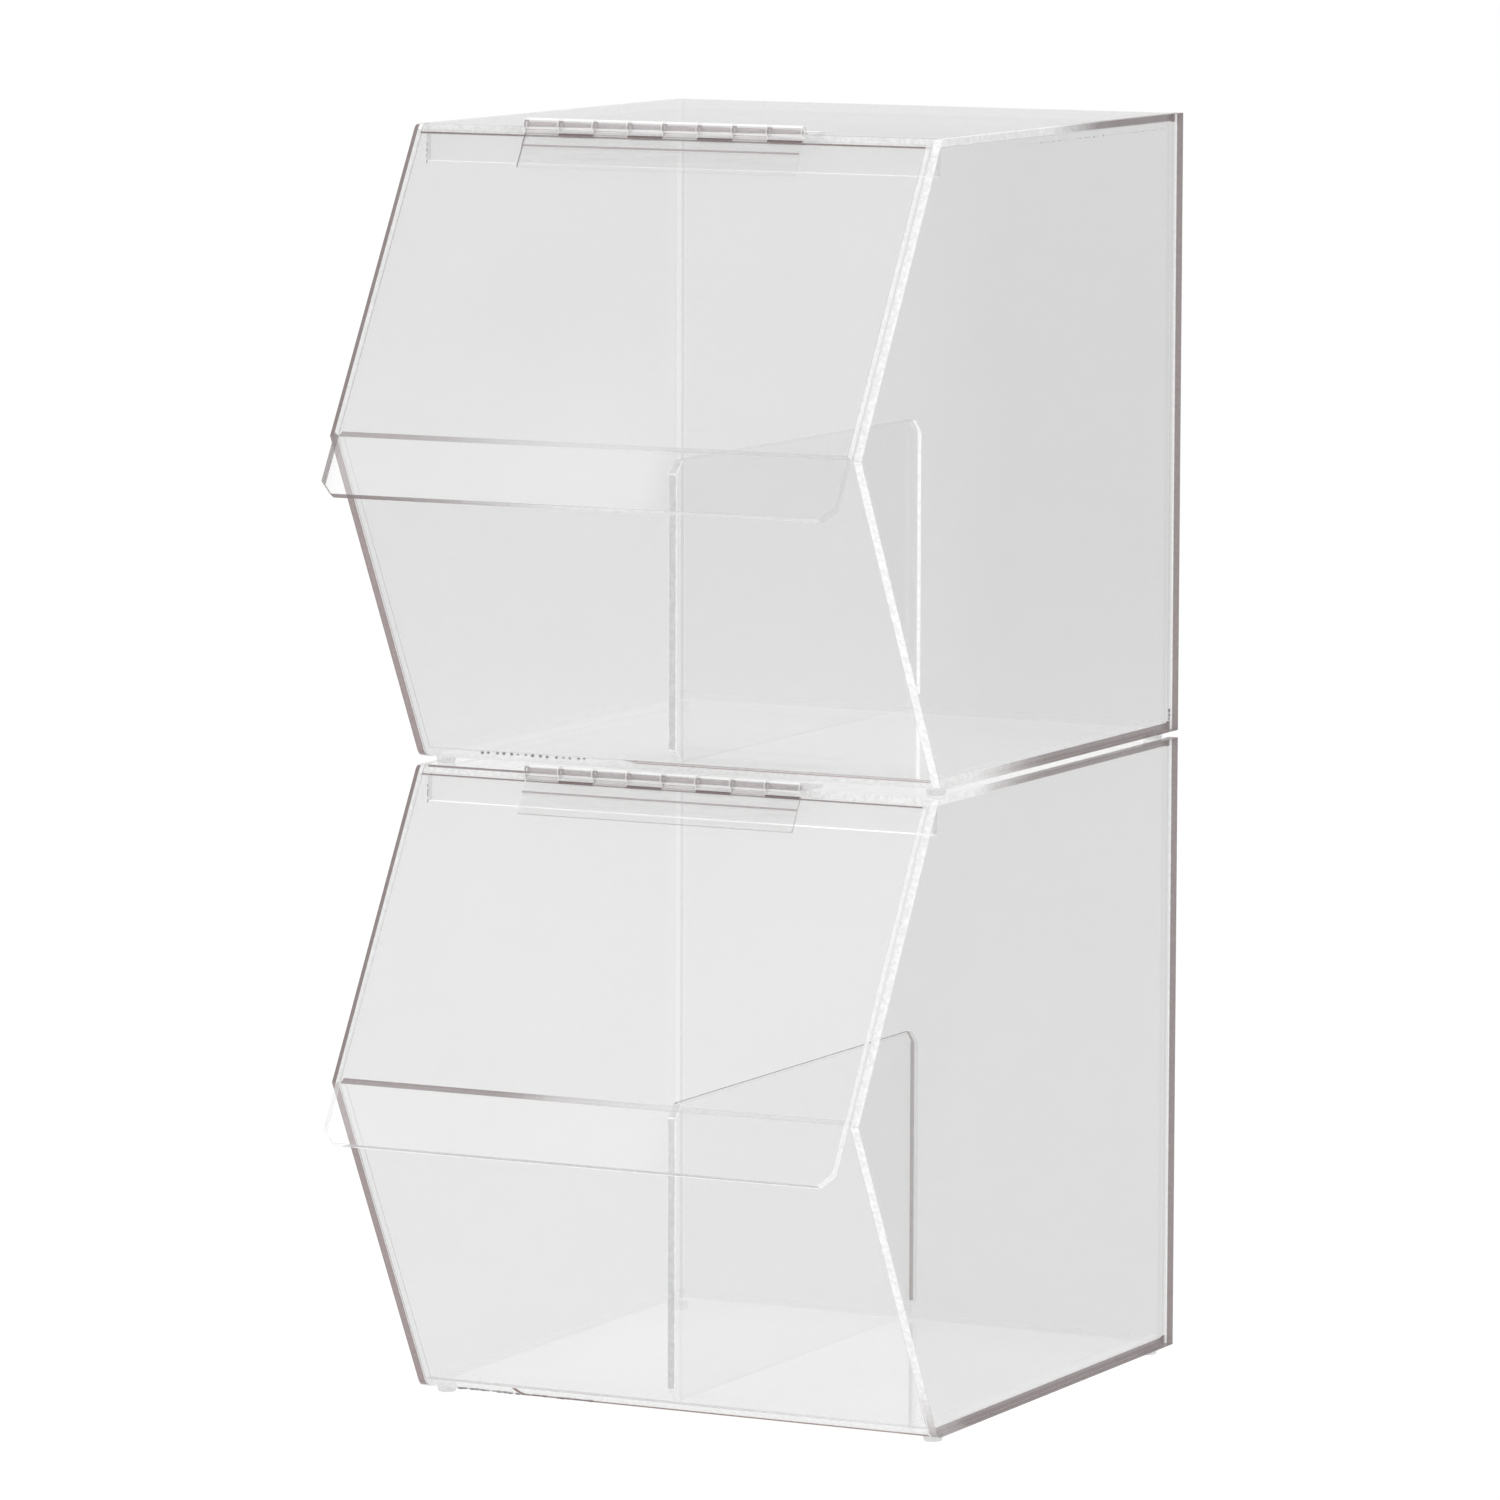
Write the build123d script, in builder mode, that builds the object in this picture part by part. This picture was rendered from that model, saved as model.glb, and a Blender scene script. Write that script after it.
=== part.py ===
"""Clear acrylic ingredient bins: two hinged-lid bins, the upper one standing on the lower.

Each bin is cemented from flat sheet. Two side panels carry the outline; the top, back, base and
front panels stand between them. A lid hangs on a clear knuckled hinge in front of the slanted
mouth and comes to rest on the top edge of the front panel.

Frame: +X to the right, +Y to the back, +Z up, millimetres. The origin is the middle of the
whole object's box, at the underside of the lower feet.
"""

import os
from math import hypot

from build123d import *

# Outline of one side panel: the knee is its foremost point
bin_width = 279.4
bin_depth = 355.6
bin_height = 304.8
knee_height = 161.6
top_setback = 83.7
base_setback = 86.0
top_corner_radius = 4.5
base_corner_radius = 7.0

# Sheet parts
sheet = 4.5
top_inset = 3.0
fascia_height = 13.4
divider_height = 144.5
divider_shift = -2.0
divider_clearance = 0.1
corner_cut = 6.4

# Lid
lid_side_gap = 0.5
lid_stand_off = 0.3
lid_top_gap = 0.4
lip_length = 32.0

# Hinge
knuckle_count = 8
knuckle_pitch = 18.4
knuckle_gap = 0.3
knuckle_radius = 3.1
knuckle_relief = 1.2
leaf_thickness = 1.5
leaf_tip_thickness = 1.1
leaf_reach = 22.3
shoulder_reach = 11.4
fold_gap = 0.3
hinge_shift = -2.3
pin_radius = 1.2
pin_running_gap = 0.05
pin_seat_gap = 0.02
pin_end_inset = 0.4

# Feet
foot_radius = 5.0
foot_height = 3.5
foot_taper = 0.6
foot_edge_cut = 0.8
foot_side_inset = 8.5
foot_end_inset = 12.0

# Worked out: the space between the side panels
inner_width = bin_width - 2 * sheet
inner_left = -inner_width / 2
inner_back = bin_depth - sheet
stack_pitch = bin_height + foot_height

# Worked out: the slanted mouth, as unit vectors (y, z) down along it and out of it
slope_length = hypot(top_setback, bin_height - knee_height)
down_y = -top_setback / slope_length
down_z = -(bin_height - knee_height) / slope_length
out_y = down_z
out_z = -down_y

# Worked out: the front panel, which leans from the knee back to the base
front_length = hypot(base_setback, knee_height)
inward_y = knee_height / front_length
inward_z = base_setback / front_length

# Worked out: the hinge axis stands equally far from the top and from the face of the lid
axis_offset = leaf_thickness + fold_gap / 2
lid_face = lid_stand_off + sheet
axis_y = top_setback + (lid_face + axis_offset - out_z * axis_offset) / out_y
axis_z = bin_height + axis_offset
axis_along = (axis_y - top_setback) * down_y + (axis_z - bin_height) * down_z
lid_top = axis_along + knuckle_radius + lid_top_gap
lid_length = slope_length + lip_length - lid_top
hinge_left = hinge_shift - knuckle_count * knuckle_pitch / 2

# Worked out: how far the lid's lip stands in front of the knee, which centres the object
lip_front = top_setback + down_y * (lid_top + lid_length) + out_y * lid_face
y_middle = (bin_depth + lip_front) / 2


def on_slope(along, outward):
    """The (y, z) of a point this far down the mouth from its top corner and this far out of it."""
    y = top_setback + down_y * along + out_y * outward
    z = bin_height + down_z * along + out_z * outward
    return y, z


def front_inner_y(z):
    """Where the inner face of the front panel stands at height z."""
    top_y = inward_y * sheet
    top_z = knee_height + inward_z * sheet
    return top_y + (top_z - z) * base_setback / knee_height


def section_plane(x, base):
    """A plane across the bin at x: sketches on it are drawn in (y, z) from knee and base."""
    return Plane(origin=(x, -y_middle, base), x_dir=(0, 1, 0), z_dir=(1, 0, 0))


def write(builder, label):
    """Labels a finished piece and writes it to its own file."""
    builder.part.label = label
    export_step(builder.part, f"parts/{label}.step")


# The outline that both side panels have and that trims every panel between them
with BuildSketch() as outline:
    with BuildLine():
        Polyline(
            (top_setback, bin_height),
            (0, knee_height),
            (base_setback, 0),
            (bin_depth, 0),
            (bin_depth, bin_height),
            close=True,
        )
    make_face()
    top_corner = outline.vertices().sort_by_distance((top_setback, bin_height))[0]
    fillet(top_corner, top_corner_radius)
    base_corner = outline.vertices().sort_by_distance((base_setback, 0))[0]
    fillet(base_corner, base_corner_radius)


def make_side_panels(bin_name, base):
    """The two outer panels, cut to the outline."""
    for side, x in (("left", -bin_width / 2), ("right", bin_width / 2 - sheet)):
        with BuildPart() as side_panel:
            with BuildSketch(section_plane(x, base)):
                add(outline.sketch)
            extrude(amount=sheet)
        write(side_panel, f"{bin_name}_{side}_side_panel")


def make_back_panel(bin_name, base):
    """The upright panel at the back, as tall as the bin."""
    with BuildPart() as back_panel:
        with BuildSketch(section_plane(inner_left, base)):
            with Locations((inner_back, 0)):
                Rectangle(sheet, bin_height, align=Align.MIN)
        extrude(amount=inner_width)
    write(back_panel, f"{bin_name}_back_panel")


def make_base_panel(bin_name, base):
    """The floor, whose front edge follows the rounded corner of the side panels."""
    with BuildPart() as base_panel:
        with BuildSketch(section_plane(inner_left, base)):
            add(outline.sketch)
            Rectangle(inner_back, sheet, align=Align.MIN, mode=Mode.INTERSECT)
        extrude(amount=inner_width)
    write(base_panel, f"{bin_name}_base_panel")


def make_top_panel(bin_name, base):
    """The roof, square at the front and a little behind the corner of the side panels."""
    front = top_setback + top_inset
    with BuildPart() as top_panel:
        with BuildSketch(section_plane(inner_left, base)):
            with Locations((front, bin_height - sheet)):
                Rectangle(inner_back - front, sheet, align=Align.MIN)
        extrude(amount=inner_width)
    write(top_panel, f"{bin_name}_top_panel")


def make_fascia(bin_name, base):
    """The stiffening strip under the front edge of the top panel."""
    with BuildPart() as fascia:
        with BuildSketch(section_plane(inner_left, base)):
            with Locations((top_setback + top_inset, bin_height - sheet)):
                Rectangle(sheet, fascia_height, align=(Align.MIN, Align.MAX))
        extrude(amount=inner_width)
    write(fascia, f"{bin_name}_fascia")


def make_front_panel(bin_name, base):
    """The leaning panel: square at the knee, standing on the base panel at its foot."""
    knee = (0, knee_height)
    knee_inner = (inward_y * sheet, knee_height + inward_z * sheet)
    foot_inner = (front_inner_y(sheet), sheet)
    foot_outer = (base_setback * (1 - sheet / knee_height), sheet)
    with BuildPart() as front_panel:
        with BuildSketch(section_plane(inner_left, base)):
            with BuildLine():
                Polyline(knee, knee_inner, foot_inner, foot_outer, close=True)
            make_face()
            add(outline.sketch, mode=Mode.INTERSECT)
        extrude(amount=inner_width)
    write(front_panel, f"{bin_name}_front_panel")


def make_divider(bin_name, base):
    """The upright plate from front to back, with its four corners cut off."""
    front = front_inner_y(sheet + corner_cut) + divider_clearance
    with BuildPart() as divider:
        with BuildSketch(section_plane(divider_shift - sheet / 2, base)) as plate:
            with Locations((front, sheet)):
                Rectangle(inner_back - front, divider_height, align=Align.MIN)
            chamfer(plate.vertices(), corner_cut)
        extrude(amount=sheet)
    write(divider, f"{bin_name}_divider")


def make_lid(bin_name, base):
    """The lid plate: drawn from the mouth's side, its lower corners cut off at the lip."""
    top_y, top_z = on_slope(lid_top, lid_stand_off)
    lid_plane = Plane(
        origin=(0, top_y - y_middle, base + top_z),
        x_dir=(1, 0, 0),
        z_dir=(0, out_y, out_z),
    )
    with BuildPart() as lid:
        with BuildSketch(lid_plane) as plate:
            Rectangle(
                inner_width - 2 * lid_side_gap,
                lid_length,
                align=(Align.CENTER, Align.MAX),
            )
            chamfer(plate.vertices().group_by(Axis.Y)[0], corner_cut)
        extrude(amount=sheet)
    write(lid, f"{bin_name}_lid")


def make_hinge_leaf(label, base, leaf_y, leaf_z, side, first_knuckle, bore_gap):
    """One leaf with every second knuckle.

    The leaf runs from the axis along (leaf_y, leaf_z), on the given side of it. Between its
    own knuckles it is notched for those of the other leaf.
    """
    axis_plane = Plane(
        origin=(hinge_left, axis_y - y_middle, base + axis_z),
        x_dir=(0, leaf_y, leaf_z),
        z_dir=(1, 0, 0),
    )
    starts = [i * knuckle_pitch + knuckle_gap / 2 for i in range(first_knuckle, knuckle_count, 2)]
    knuckle_planes = [axis_plane.offset(start) for start in starts]
    hinge_length = knuckle_count * knuckle_pitch
    notch_end = knuckle_radius + knuckle_relief
    near = side * fold_gap / 2
    step = near + side * (leaf_thickness - leaf_tip_thickness)
    far = side * axis_offset
    with BuildPart() as leaf:
        with BuildSketch(axis_plane.offset(knuckle_gap / 2)):
            with BuildLine():
                Polyline(
                    (notch_end, near),
                    (shoulder_reach, near),
                    (shoulder_reach, step),
                    (leaf_reach, step),
                    (leaf_reach, far),
                    (notch_end, far),
                    close=True,
                )
            make_face()
        extrude(amount=hinge_length - knuckle_gap)
        with BuildSketch(*knuckle_planes):
            Circle(knuckle_radius)
            with BuildLine():
                Polyline((0, near), (notch_end, near), (notch_end, far), (0, far), close=True)
            make_face()
        extrude(amount=knuckle_pitch - knuckle_gap)
        with BuildSketch(axis_plane):
            Circle(pin_radius + bore_gap)
        extrude(amount=hinge_length, mode=Mode.SUBTRACT)
    write(leaf, label)


def make_hinge(bin_name, base):
    """The leaf on the top panel, the leaf on the lid and the rod through their knuckles."""
    make_hinge_leaf(f"{bin_name}_hinge_top_leaf", base, 1, 0, -1, 1, pin_seat_gap)
    make_hinge_leaf(f"{bin_name}_hinge_lid_leaf", base, down_y, down_z, 1, 0, pin_running_gap)
    pin_length = knuckle_count * knuckle_pitch - knuckle_gap - 2 * pin_end_inset
    pin_start = section_plane(hinge_left + knuckle_gap / 2 + pin_end_inset, base)
    with BuildPart() as hinge_pin:
        with BuildSketch(pin_start):
            with Locations((axis_y, axis_z)):
                Circle(pin_radius)
        extrude(amount=pin_length)
    write(hinge_pin, f"{bin_name}_hinge_pin")


def make_feet(bin_name, base):
    """Four small round feet, each turned from a profile that narrows towards the ground."""
    foot_x = bin_width / 2 - foot_side_inset
    front_y = base_setback + foot_end_inset - y_middle
    back_y = bin_depth - foot_end_inset - y_middle
    for row, y in (("front", front_y), ("back", back_y)):
        for side, x in (("left", -foot_x), ("right", foot_x)):
            foot_plane = Plane(origin=(x, y, base), x_dir=(1, 0, 0), z_dir=(0, -1, 0))
            with BuildPart() as foot:
                with BuildSketch(foot_plane) as half_section:
                    with BuildLine():
                        Polyline(
                            (0, 0),
                            (foot_radius, 0),
                            (foot_radius - foot_taper, -foot_height),
                            (0, -foot_height),
                            close=True,
                        )
                    make_face()
                    sole_corner = half_section.vertices().sort_by_distance(
                        (foot_radius - foot_taper, -foot_height)
                    )[0]
                    chamfer(sole_corner, foot_edge_cut)
                revolve(axis=Axis((x, y, base), (0, 0, 1)))
            write(foot, f"{bin_name}_{row}_{side}_foot")


os.makedirs("parts", exist_ok=True)

for level, bin_name in enumerate(("lower", "upper")):
    base = foot_height + level * stack_pitch
    make_side_panels(bin_name, base)
    make_back_panel(bin_name, base)
    make_base_panel(bin_name, base)
    make_top_panel(bin_name, base)
    make_fascia(bin_name, base)
    make_front_panel(bin_name, base)
    make_divider(bin_name, base)
    make_lid(bin_name, base)
    make_hinge(bin_name, base)
    make_feet(bin_name, base)

print("object depth", bin_depth - lip_front, "middle at", y_middle)
print("hinge axis y, z from knee and base", axis_y, axis_z)
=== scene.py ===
"""Looks of the clear ingredient bins: polished sheet, sawn edges, cemented joints, hinges and feet."""

import math

import bmesh
import bpy
import numpy as np
from mathutils import Matrix, Vector


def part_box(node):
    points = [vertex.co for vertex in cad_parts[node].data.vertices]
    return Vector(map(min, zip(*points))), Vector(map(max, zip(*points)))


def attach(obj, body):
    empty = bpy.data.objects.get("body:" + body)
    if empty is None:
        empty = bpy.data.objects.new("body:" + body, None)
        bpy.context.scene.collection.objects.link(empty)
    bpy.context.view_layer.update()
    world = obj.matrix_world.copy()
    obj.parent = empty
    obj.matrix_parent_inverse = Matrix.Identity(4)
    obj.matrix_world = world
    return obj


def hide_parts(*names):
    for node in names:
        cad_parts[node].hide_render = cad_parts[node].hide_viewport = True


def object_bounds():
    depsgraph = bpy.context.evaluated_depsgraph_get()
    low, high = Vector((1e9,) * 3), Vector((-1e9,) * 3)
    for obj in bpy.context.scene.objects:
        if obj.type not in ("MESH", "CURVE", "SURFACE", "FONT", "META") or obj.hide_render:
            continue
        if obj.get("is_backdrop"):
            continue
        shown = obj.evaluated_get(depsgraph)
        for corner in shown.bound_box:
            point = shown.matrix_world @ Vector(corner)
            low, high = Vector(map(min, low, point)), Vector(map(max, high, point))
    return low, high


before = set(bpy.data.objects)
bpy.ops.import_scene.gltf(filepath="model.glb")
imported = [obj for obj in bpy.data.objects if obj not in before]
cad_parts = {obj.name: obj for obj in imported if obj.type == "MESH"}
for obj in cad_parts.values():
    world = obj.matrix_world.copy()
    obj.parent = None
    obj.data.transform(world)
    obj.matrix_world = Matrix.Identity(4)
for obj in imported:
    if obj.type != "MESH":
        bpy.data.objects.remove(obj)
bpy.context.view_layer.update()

scene = bpy.context.scene
mm = 0.001

# Sizes shared with the solids, in metres
sheet = 4.5 * mm
bin_height = 304.8 * mm
knee_height = 161.6 * mm
foot_height = 3.5 * mm
bases = {"lower": foot_height, "upper": foot_height + bin_height + foot_height}
y_middle = 167.654 * mm
down = Vector((0, -0.50462, -0.86335))
hinge_left = -75.9 * mm
hinge_y = 77.193 * mm - y_middle
hinge_z = 306.45 * mm
knuckle_count = 8
knuckle_pitch = 18.4 * mm
knuckle_gap = 0.3 * mm
knuckle_radius = 3.1 * mm
notch_end = 4.3 * mm
leaf_near = 0.15 * mm
leaf_far = 1.65 * mm
leaf_step = 0.55 * mm
shoulder_reach = 11.4 * mm
leaf_reach = 22.3 * mm
pin_radius = 1.2 * mm
joint_film = 0.05 * mm


# Node helpers

def feed(tree, slot, value):
    """Gives a socket its value, or links it where the value is another node's output."""
    if isinstance(value, bpy.types.NodeSocket):
        tree.links.new(value, slot)
    else:
        slot.default_value = value


def place(tree, kind, inputs=None, **settings):
    """Adds a node, sets it up and fills its inputs."""
    made = tree.nodes.new(kind)
    for name, value in settings.items():
        setattr(made, name, value)
    for name, value in (inputs or {}).items():
        feed(tree, made.inputs[name], value)
    return made


def new_group(name, kind, inputs, outputs):
    """An empty node group with its named sockets: (the tree, what it is given, what it puts out)."""
    tree = bpy.data.node_groups.new(name, kind)
    for label, socket, *value in inputs:
        made = tree.interface.new_socket(label, in_out="INPUT", socket_type="NodeSocket" + socket)
        if value:
            made.default_value = value[0]
    for label, socket in outputs.items():
        tree.interface.new_socket(label, in_out="OUTPUT", socket_type="NodeSocket" + socket)
    return tree, tree.nodes.new("NodeGroupInput").outputs, tree.nodes.new("NodeGroupOutput").inputs


def put_out(tree, result, sources):
    """Links what a group puts out, by name."""
    for name, source in sources.items():
        tree.links.new(source, result[name])
    return tree


def calc(tree, operation, *values, clamp=False):
    """A Math node on the given values or sockets, as its output."""
    return place(tree, "ShaderNodeMath", dict(enumerate(values)), operation=operation,
                 use_clamp=clamp).outputs[0]


def scaled(tree, vector, factor):
    """A colour or a vector times a factor."""
    return place(tree, "ShaderNodeVectorMath", {0: vector, "Scale": factor}, operation="SCALE").outputs[0]


def blend_colour(tree, share, first, second):
    """A colour between two others."""
    return place(tree, "ShaderNodeMix", {0: share, 6: first, 7: second}, data_type="RGBA").outputs[2]


def fit_range(tree, value, low, high, to_low=0.0, to_high=1.0, smooth=True):
    """A value carried from one range to another and held there."""
    ends = {0: value, 1: low, 2: high, 3: to_low, 4: to_high}
    return place(tree, "ShaderNodeMapRange", ends,
                 interpolation_type="SMOOTHSTEP" if smooth else "LINEAR").outputs[0]


def noise(tree, vector, scale, detail, roughness=0.5, distortion=0.0):
    """A cloudy pattern round 0.5."""
    looks = {"Vector": vector, "Scale": scale, "Detail": detail, "Roughness": roughness,
             "Distortion": distortion}
    return place(tree, "ShaderNodeTexNoise", looks).outputs["Fac"]


def stretched(tree, vector, scale, turn=(0.0, 0.0, 0.0)):
    """Coordinates turned and scaled for a pattern with a direction."""
    return place(tree, "ShaderNodeMapping", {"Vector": vector, "Rotation": turn, "Scale": scale}).outputs[0]


def along_axes(tree, vector):
    """A vector's three parts."""
    return place(tree, "ShaderNodeSeparateXYZ", {0: vector}).outputs


def paint(value):
    """A colour from a grey level, or from red, green and blue."""
    return (value, value, value, 1.0) if isinstance(value, float) else (*value, 1.0)


# Shader groups

def sheet_wear_group():
    """Wiping haze and hairline scratches of a cast sheet's polished face."""
    tree, given, result = new_group(
        "sheet_wear", "ShaderNodeTree",
        [("Vector", "Vector"), ("Haze", "Float", 0.03), ("Gloss Roughness", "Float", 0.05),
         ("Scratches", "Float", 1.0), ("Tint", "Color", paint(0.9))],
        {"Haze": "Float", "Roughness": "Float", "Height": "Float", "Color": "Color"})
    vector = given["Vector"]
    cloud = noise(tree, vector, 9.0, 3.0, 0.55)
    wiped = noise(tree, stretched(tree, vector, (14.0, 220.0, 90.0), (0.5, 0.3, 0.7)), 1.0, 2.0, 0.6)
    hair = noise(tree, stretched(tree, vector, (30.0, 900.0, 700.0), (0.9, -0.4, 0.2)), 1.0, 1.0)
    scratch = calc(tree, "MULTIPLY", fit_range(tree, hair, 0.71, 0.76), given["Scratches"])
    smears = fit_range(tree, wiped, 0.35, 0.7, 0.9, 1.15)
    cloudy = calc(tree, "MULTIPLY", fit_range(tree, cloud, 0.3, 0.7, 0.75, 1.25), smears)
    haze = calc(tree, "MULTIPLY", cloudy, given["Haze"])
    rough = calc(tree, "MULTIPLY", cloudy, given["Gloss Roughness"])
    scratch_depth = calc(tree, "MULTIPLY", scratch, 0.12)
    return put_out(tree, result, {
        "Haze": calc(tree, "MULTIPLY_ADD", scratch, 0.02, haze, clamp=True),
        "Roughness": calc(tree, "MULTIPLY_ADD", scratch, 0.08, rough, clamp=True),
        "Height": calc(tree, "SUBTRACT", calc(tree, "MULTIPLY", wiped, 0.02), scratch_depth),
        "Color": scaled(tree, given["Tint"], fit_range(tree, cloud, 0.3, 0.7, 0.97, 1.03))})


def edge_painted_light_group():
    """Light and shade painted on a sheet's edge: painted mauve-grey shade at the left and at the back, pale
    towards the front right, as the studio's light falls.

    Depth runs from the sheet's inner face (0) to its outer face (1), and the painted dark line fills it from
    Line From to Line To.
    """
    tree, given, result = new_group(
        "edge_light", "ShaderNodeTree",
        [("Vector", "Vector"), ("Depth", "Float", 0.5), ("Dark Body", "Color", paint(0.3)),
         ("Pale Body", "Color", paint(0.9)), ("Dark Through", "Color", paint(0.4)),
         ("Pale Through", "Color", paint(0.95)), ("Line From", "Float", 0.0), ("Line To", "Float", 1.0),
         ("Fall", "Float", 1.0), ("Least Shade", "Float", 0.0), ("Most Shade", "Float", 1.0),
         ("Pale Opacity", "Float", 0.5), ("Dark Opacity", "Float", 0.5)],
        {"Body": "Color", "Through": "Color", "Opacity": "Float", "Roughness": "Float", "Height": "Float"})
    across, along, up = along_axes(tree, given["Vector"])
    wander = fit_range(tree, noise(tree, given["Vector"], 24.0, 2.0), 0.3, 0.7, -0.012, 0.012, smooth=False)
    # the higher an edge is, the less far its painted shade reaches from the left and from the back
    turn_x = calc(tree, "MULTIPLY_ADD", up, -0.22, 0.09)
    from_left = calc(tree, "SUBTRACT", calc(tree, "ADD", across, wander), turn_x)
    left = fit_range(tree, from_left, -0.11, 0.06, 1.0, 0.0)
    left = calc(tree, "MULTIPLY", left, fit_range(tree, along, -0.082, -0.068, 1.0, 0.0))
    turn_y = calc(tree, "MULTIPLY_ADD", up, 0.26, -0.08)
    from_back = calc(tree, "SUBTRACT", calc(tree, "ADD", along, wander), turn_y)
    back = fit_range(tree, from_back, -0.045, 0.04)
    back = calc(tree, "MULTIPLY", back, fit_range(tree, across, 0.115, 0.13))
    shade = calc(tree, "POWER", calc(tree, "MAXIMUM", left, back), given["Fall"])
    shade = fit_range(tree, shade, 0.0, 1.0, given["Least Shade"], given["Most Shade"], smooth=False)
    soft = 0.06
    rise = fit_range(tree, calc(tree, "SUBTRACT", given["Depth"], given["Line From"]), -soft, soft)
    fall = fit_range(tree, calc(tree, "SUBTRACT", given["Depth"], given["Line To"]), -soft, soft, 1.0, 0.0)
    line = calc(tree, "MULTIPLY", calc(tree, "MULTIPLY", rise, fall), shade)
    fine = noise(tree, given["Vector"], 420.0, 2.0, 0.6)
    body = blend_colour(tree, line, given["Pale Body"], given["Dark Body"])
    return put_out(tree, result, {
        "Body": scaled(tree, body, fit_range(tree, fine, 0.35, 0.65, 0.93, 1.07)),
        "Through": blend_colour(tree, line, given["Pale Through"], given["Dark Through"]),
        "Opacity": fit_range(tree, line, 0.0, 1.0, given["Pale Opacity"], given["Dark Opacity"],
                             smooth=False),
        "Roughness": fit_range(tree, fine, 0.3, 0.7, 0.08, 0.2),
        "Height": fine})


def moulding_group():
    """Flow marks and faint ripples of clear moulded plastic."""
    tree, given, result = new_group(
        "moulding_flow", "ShaderNodeTree",
        [("Vector", "Vector"), ("Body", "Color", paint(0.5)), ("Streak", "Color", paint(0.3)),
         ("Amount", "Float", 0.5), ("Opacity", "Float", 0.3)],
        {"Color": "Color", "Opacity": "Float", "Roughness": "Float", "Height": "Float"})
    flow = noise(tree, stretched(tree, given["Vector"], (30.0, 420.0, 420.0)), 1.0, 3.0, 0.55, distortion=0.4)
    streak = calc(tree, "MULTIPLY", fit_range(tree, flow, 0.42, 0.68), given["Amount"])
    fine = noise(tree, given["Vector"], 600.0, 2.0)
    return put_out(tree, result, {
        "Color": blend_colour(tree, streak, given["Body"], given["Streak"]),
        "Opacity": calc(tree, "MULTIPLY_ADD", streak, 0.25, given["Opacity"], clamp=True),
        "Roughness": fit_range(tree, fine, 0.3, 0.7, 0.06, 0.16),
        "Height": calc(tree, "MULTIPLY_ADD", fine, 0.2, flow)})


sheet_wear = sheet_wear_group()
edge_light = edge_painted_light_group()
moulding_flow = moulding_group()


# Materials

def new_material(name):
    """An empty material: (the material, its tree, Object coordinates)."""
    made = bpy.data.materials.new(name)
    made.use_nodes = True
    made.node_tree.nodes.clear()
    return made, made.node_tree, place(made.node_tree, "ShaderNodeTexCoord").outputs["Object"]


def surfaced(material, shader):
    """The material with its shader on its output."""
    place(material.node_tree, "ShaderNodeOutputMaterial", {"Surface": shader})
    return material


def grouped(tree, group, inputs):
    """The outputs of a node group placed with its own values."""
    return place(tree, "ShaderNodeGroup", inputs, node_tree=group).outputs


def attribute(tree, name):
    """A mesh attribute as a number."""
    return place(tree, "ShaderNodeAttribute", attribute_name=name).outputs["Fac"]


def bumped(tree, height, strength, distance):
    """Normals moved by a height."""
    return place(tree, "ShaderNodeBump", {"Height": height, "Strength": strength,
                                          "Distance": distance}).outputs[0]


def see_through(tree, colour):
    """Light that passes straight through with a tint."""
    return place(tree, "ShaderNodeBsdfTransparent", {"Color": colour}).outputs[0]


def plastic(tree, colour, roughness, normal, painted_glow=0.0, painted_glow_colour=paint(1.0)):
    """The plastic's own body, with its painted glow: light it gives off though it is no lamp."""
    return place(tree, "ShaderNodeBsdfPrincipled", {
        "Base Color": colour, "Roughness": roughness, "IOR": 1.49, "Emission Color": painted_glow_colour,
        "Emission Strength": painted_glow, "Normal": normal}).outputs[0]


def polish(tree, colour, roughness, normal):
    """The studio mirrored in a polished face."""
    return place(tree, "ShaderNodeBsdfPrincipled", {
        "Base Color": paint(colour), "Metallic": 1.0, "Roughness": roughness, "Normal": normal}).outputs[0]


def laid_over(tree, share, under, over):
    """One shader laid over another by a share."""
    return place(tree, "ShaderNodeMixShader", {0: share, 1: under, 2: over}).outputs[0]


def grazing(tree, strength):
    """The share of light a clear face mirrors, from head on to grazing."""
    facing = place(tree, "ShaderNodeLayerWeight", {"Blend": 0.5}).outputs["Facing"]
    head_on = 0.04
    share = calc(tree, "MULTIPLY_ADD", calc(tree, "POWER", facing, 5.0), 1 - head_on, head_on)
    return calc(tree, "MULTIPLY", share, strength, clamp=True)


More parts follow.
